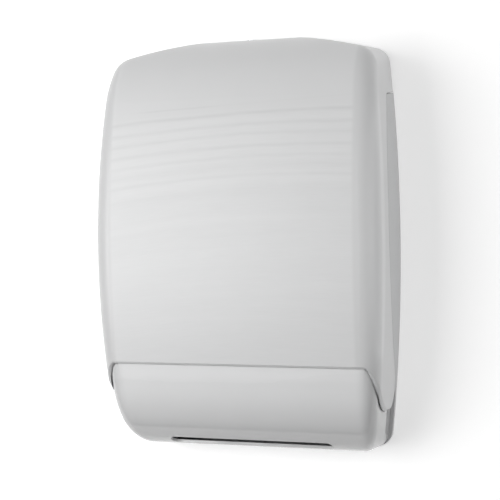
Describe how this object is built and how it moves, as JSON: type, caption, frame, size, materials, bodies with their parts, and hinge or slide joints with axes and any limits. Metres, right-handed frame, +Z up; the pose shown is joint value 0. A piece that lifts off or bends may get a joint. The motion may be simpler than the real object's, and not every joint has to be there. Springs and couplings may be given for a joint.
{
  "type": "multifold towel dispenser",
  "caption": "Wall-mounted dispenser for folded paper towels: a bowed door hinged low at both sides, side wings, a rounded lower front with an outlet, and a cam lock on top.",
  "frame": {"origin": "centre of the four wall-screw holes, on the plane of the wall", "axes": "+Z up, +Y back into the wall, +X to the viewer's right when the front is faced"},
  "size_m": [0.28, 0.128, 0.4162],
  "materials": {
    "housing_plastic": "mid grey moulded plastic, satin, with a fine grain",
    "door_plastic": "pale grey moulded plastic, semi-gloss, with a fine brushed texture across the front",
    "lower_plastic": "pale grey moulded plastic, smooth and glossy",
    "insert_plastic": "dark grey moulded plastic, satin",
    "guide_plastic": "mid grey moulded plastic, satin",
    "screw_steel": "bright zinc-plated steel",
    "pin_steel": "ground steel rod",
    "bracket_steel": "pressed zinc-plated sheet steel",
    "lock_metal": "nickel-plated die casting, turned face",
    "bumper_rubber": "black rubber"
  },
  "bodies": {
    "housing": {"rear_housing": "housing_plastic", "lower_front": "lower_plastic", "multifold_insert": "insert_plastic", "insert_screws": "screw_steel", "lower_front_screws": "screw_steel", "hinge_pin_right": "pin_steel", "hinge_pin_left": "pin_steel", "towel_guide_right": "guide_plastic", "towel_guide_left": "guide_plastic", "guide_screws": "screw_steel", "door_bumpers": "bumper_rubber", "strike_bracket": "bracket_steel", "strike_screws": "screw_steel"},
    "door": {"front_door": "door_plastic", "lock_barrel": "lock_metal", "lock_washer": "screw_steel", "lock_nut": "screw_steel"},
    "lock_core": {"lock_plug": "lock_metal", "lock_cam": "bracket_steel", "cam_screw": "screw_steel"}
  },
  "joints": [
    {"name": "door_hinge", "type": "hinge", "parent": "housing", "child": "door", "pos_m": [0, -0.033, -0.139], "axis": [1, 0, 0], "range_deg": [0, 80]},
    {"name": "lock_turn", "type": "hinge", "parent": "door", "child": "lock_core", "pos_m": [0, -0.04, 0.19], "axis": [0, 0, 1], "range_deg": [0, 90]}
  ]
}
